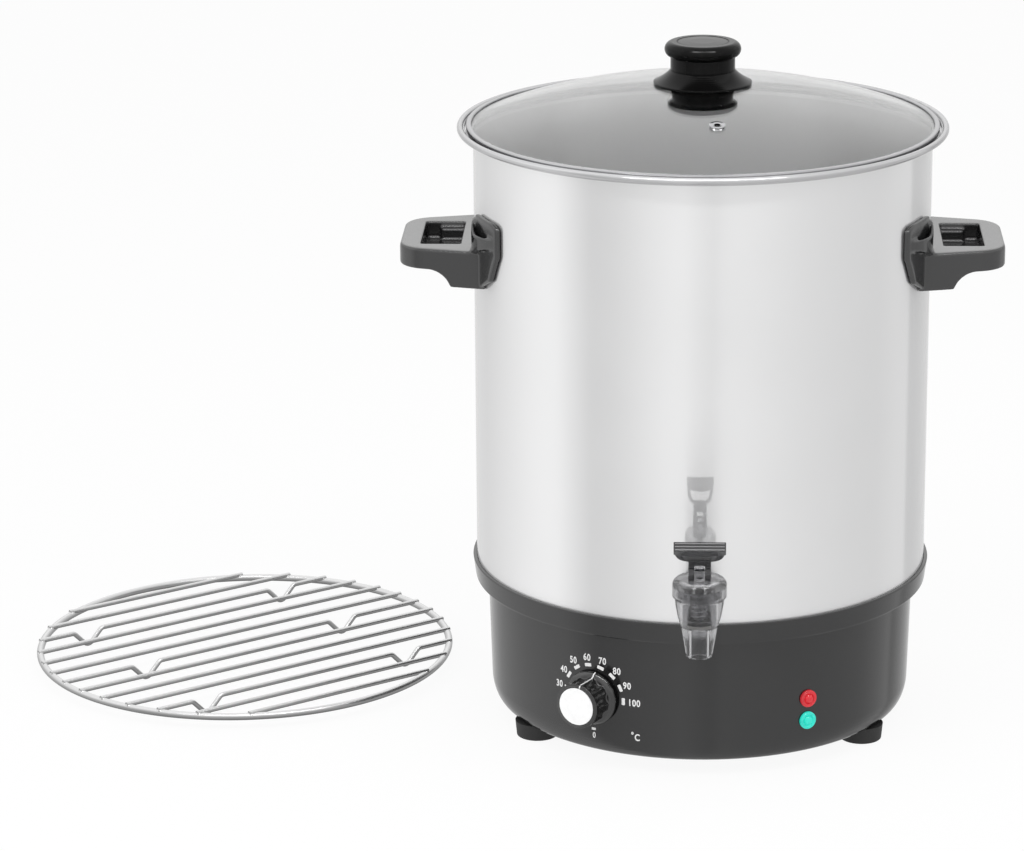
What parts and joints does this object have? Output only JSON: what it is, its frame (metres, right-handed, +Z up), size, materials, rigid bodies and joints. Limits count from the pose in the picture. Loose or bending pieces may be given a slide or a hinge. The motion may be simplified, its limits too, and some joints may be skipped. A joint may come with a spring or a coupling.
{
  "type": "mulled wine kettle",
  "caption": "Electric mulled wine kettle: steel vessel on a black heated base with dial, lamps, lever tap, side handles and domed glass lid, with its wire rack beside it.",
  "frame": {"origin": "on the vessel's vertical axis, on the surface that the feet stand on", "axes": "+Z up, -Y to the front where the tap is, +X to the right seen from the front"},
  "size_m": [0.7949, 0.5414, 0.5498],
  "materials": {
    "polished_steel": "satin polished sheet",
    "rim_steel": "polished rolled steel",
    "base_black": "satin moulded",
    "handle_black": "satin moulded",
    "knob_black": "satin moulded",
    "inner_black": "moulded",
    "foot_rubber": "matt",
    "zinc_plate": "zinc plated sheet",
    "zinc_fasteners": "zinc plated",
    "clear_glass": "clear toughened",
    "smoke_plastic": "smoky translucent",
    "silicone": "soft",
    "spring_steel": "drawn wire",
    "white_disc": "bright",
    "red_lens": "translucent",
    "green_lens": "translucent",
    "phenolic": "moulded",
    "copper_bulb": "drawn copper",
    "heater_aluminium": "pressed",
    "element_sheath": "heat darkened",
    "rack_wire": "bright wire"
  },
  "bodies": {
    "kettle": {"vessel": "polished_steel", "base_housing": "base_black", "base_plate": "zinc_plate", "cover_screws": "zinc_fasteners", "foot_front_left": "foot_rubber", "foot_front_right": "foot_rubber", "foot_rear": "foot_rubber", "foot_screws": "zinc_fasteners", "handle_left": "handle_black", "handle_right": "handle_black", "handle_screws": "zinc_fasteners", "tap_body": "smoke_plastic", "tap_washer_outer": "foot_rubber", "tap_washer_inner": "foot_rubber", "tap_nut": "smoke_plastic", "tap_bonnet": "smoke_plastic", "thermostat_body": "phenolic", "thermostat_nut": "zinc_fasteners", "thermostat_sensor": "copper_bulb", "lamp_red": "red_lens", "lamp_green": "green_lens", "lamp_barrels": "inner_black", "cable_gland": "inner_black", "cable_gland_nut": "inner_black", "heater_plate": "heater_aluminium", "heating_element": "element_sheath", "heat_shield": "zinc_plate", "thermal_cutout": "phenolic", "terminal_block": "phenolic", "tie_stud": "zinc_fasteners", "tie_nut": "zinc_fasteners"},
    "lid": {"lid_glass": "clear_glass", "lid_rim": "rim_steel", "lid_knob": "knob_black", "lid_knob_washer": "knob_black", "lid_knob_screw": "zinc_fasteners", "lid_vent": "rim_steel"},
    "dial": {"thermostat_knob": "knob_black", "thermostat_disc": "white_disc", "thermostat_shaft": "zinc_fasteners"},
    "plunger": {"tap_plunger": "smoke_plastic", "tap_seal": "silicone", "tap_spring": "spring_steel"},
    "lever": {"tap_lever": "smoke_plastic", "tap_lever_pin": "zinc_fasteners"},
    "rack": {"rack_ring": "rack_wire", "rack_bars": "rack_wire", "rack_foot_bars": "rack_wire"}
  },
  "joints": [
    {"name": "lid_lift", "type": "slide", "parent": "kettle", "child": "lid", "axis": [0, 0, 1], "range_m": [0, 0.25]},
    {"name": "thermostat_turn", "type": "hinge", "parent": "kettle", "child": "dial", "pos_m": [-0.08254, -0.14769, 0.06], "axis": [-0.4879, -0.8729, 0], "range_deg": [-80, 190]},
    {"name": "tap_plunger_lift", "type": "slide", "parent": "kettle", "child": "plunger", "axis": [0, 0, 1], "range_m": [0, 0.0045], "stiffness_N_per_m": 400, "springref_m": -0.006, "deforming": ["tap_spring"]},
    {"name": "tap_lever_swing", "type": "hinge", "parent": "plunger", "child": "lever", "pos_m": [0, -0.236, 0.196], "axis": [1, 0, 0], "range_deg": [0, 42]},
    {"name": "rack_lift", "type": "slide", "parent": "kettle", "child": "rack", "axis": [0, 0, 1], "range_m": [0, 0.25]}
  ],
  "couplings": [
    {"joint": "tap_lever_swing", "follows": "tap_plunger_lift", "rad_per_m": 155.14}
  ]
}
